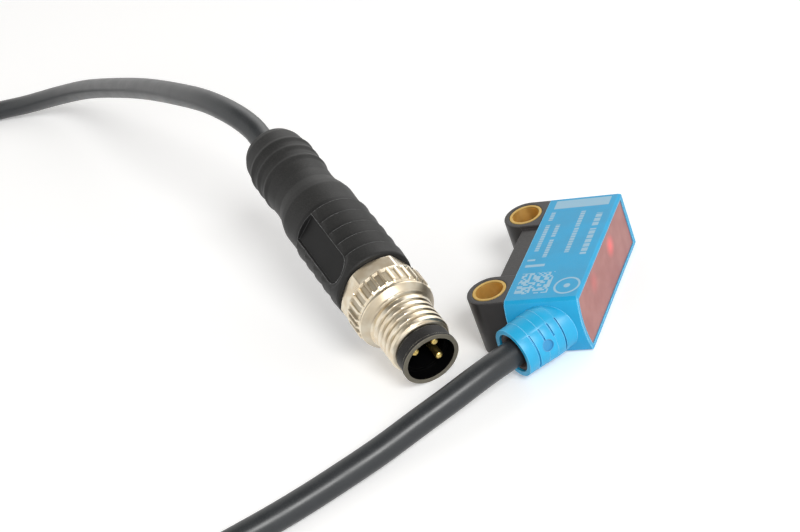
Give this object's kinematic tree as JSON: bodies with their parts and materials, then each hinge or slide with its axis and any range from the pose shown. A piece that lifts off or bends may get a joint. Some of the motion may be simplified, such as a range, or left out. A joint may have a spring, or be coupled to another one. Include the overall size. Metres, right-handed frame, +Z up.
{
  "type": "miniature photoelectric sensor",
  "caption": "Flat miniature diffuse photoelectric sensor with a red window, two mounting eyes, an angled cable outlet and a pigtail ending in a small round screw plug.",
  "frame": {"origin": "middle of the underside of the sensor's own box, cable and plug left aside; the sensor lies on its side on z = 0", "axes": "+X out of the red window, +Y along the housing away from the cable, +Z up through the thickness"},
  "size_m": [0.1507, 0.1274, 0.0217],
  "materials": {
    "blue_housing": "finely textured, slightly glossy",
    "red_window": "translucent, polished",
    "black_plastic": "satin",
    "brass_bush": "turned",
    "clear_lens": "clear, polished",
    "red_emitter": "clear resin",
    "dark_receiver": "dark filter resin",
    "board": "solder resist over glass fibre",
    "chip": "moulded resin",
    "light_guide": "clear, polished",
    "status_lamp": "clear resin",
    "blue_outlet": "soft, glossy",
    "black_seal": "soft",
    "brown_insulation": "smooth",
    "blue_insulation": "smooth",
    "black_insulation": "smooth",
    "cable_jacket": "smooth, slightly glossy",
    "grip": "matt",
    "carrier": "satin",
    "nickel": "nickel plated, satin",
    "gold_contact": "gold plated"
  },
  "bodies": {
    "sensor_and_cable": {"housing_shell": "blue_housing", "front_window": "red_window", "rear_mount": "black_plastic", "near_bush": "brass_bush", "far_bush": "brass_bush", "optics_holder": "black_plastic", "sender_lens": "clear_lens", "receiver_lens": "clear_lens", "sender_led": "red_emitter", "receiver_chip": "dark_receiver", "circuit_board": "board", "control_chip": "chip", "status_leds": "status_lamp", "status_light_guide": "light_guide", "cable_outlet": "blue_outlet", "cable_seal": "black_seal", "brown_wire": "brown_insulation", "blue_wire": "blue_insulation", "black_wire": "black_insulation", "cable_jacket": "cable_jacket", "plug_grip": "grip", "contact_carrier": "carrier", "pin_one": "gold_contact", "pin_three": "gold_contact", "pin_four": "gold_contact", "plug_brown_wire": "brown_insulation", "plug_blue_wire": "blue_insulation", "plug_black_wire": "black_insulation"},
    "coupling_screw": {"coupling_screw": "nickel"}
  },
  "joints": [
    {"name": "coupling_screw_turn", "type": "hinge", "parent": "sensor_and_cable", "child": "coupling_screw", "pos_m": [-0.01631, -0.0066, 0.00586], "axis": [-0.6643, 0.6879, 0.2924], "continuous": true}
  ]
}
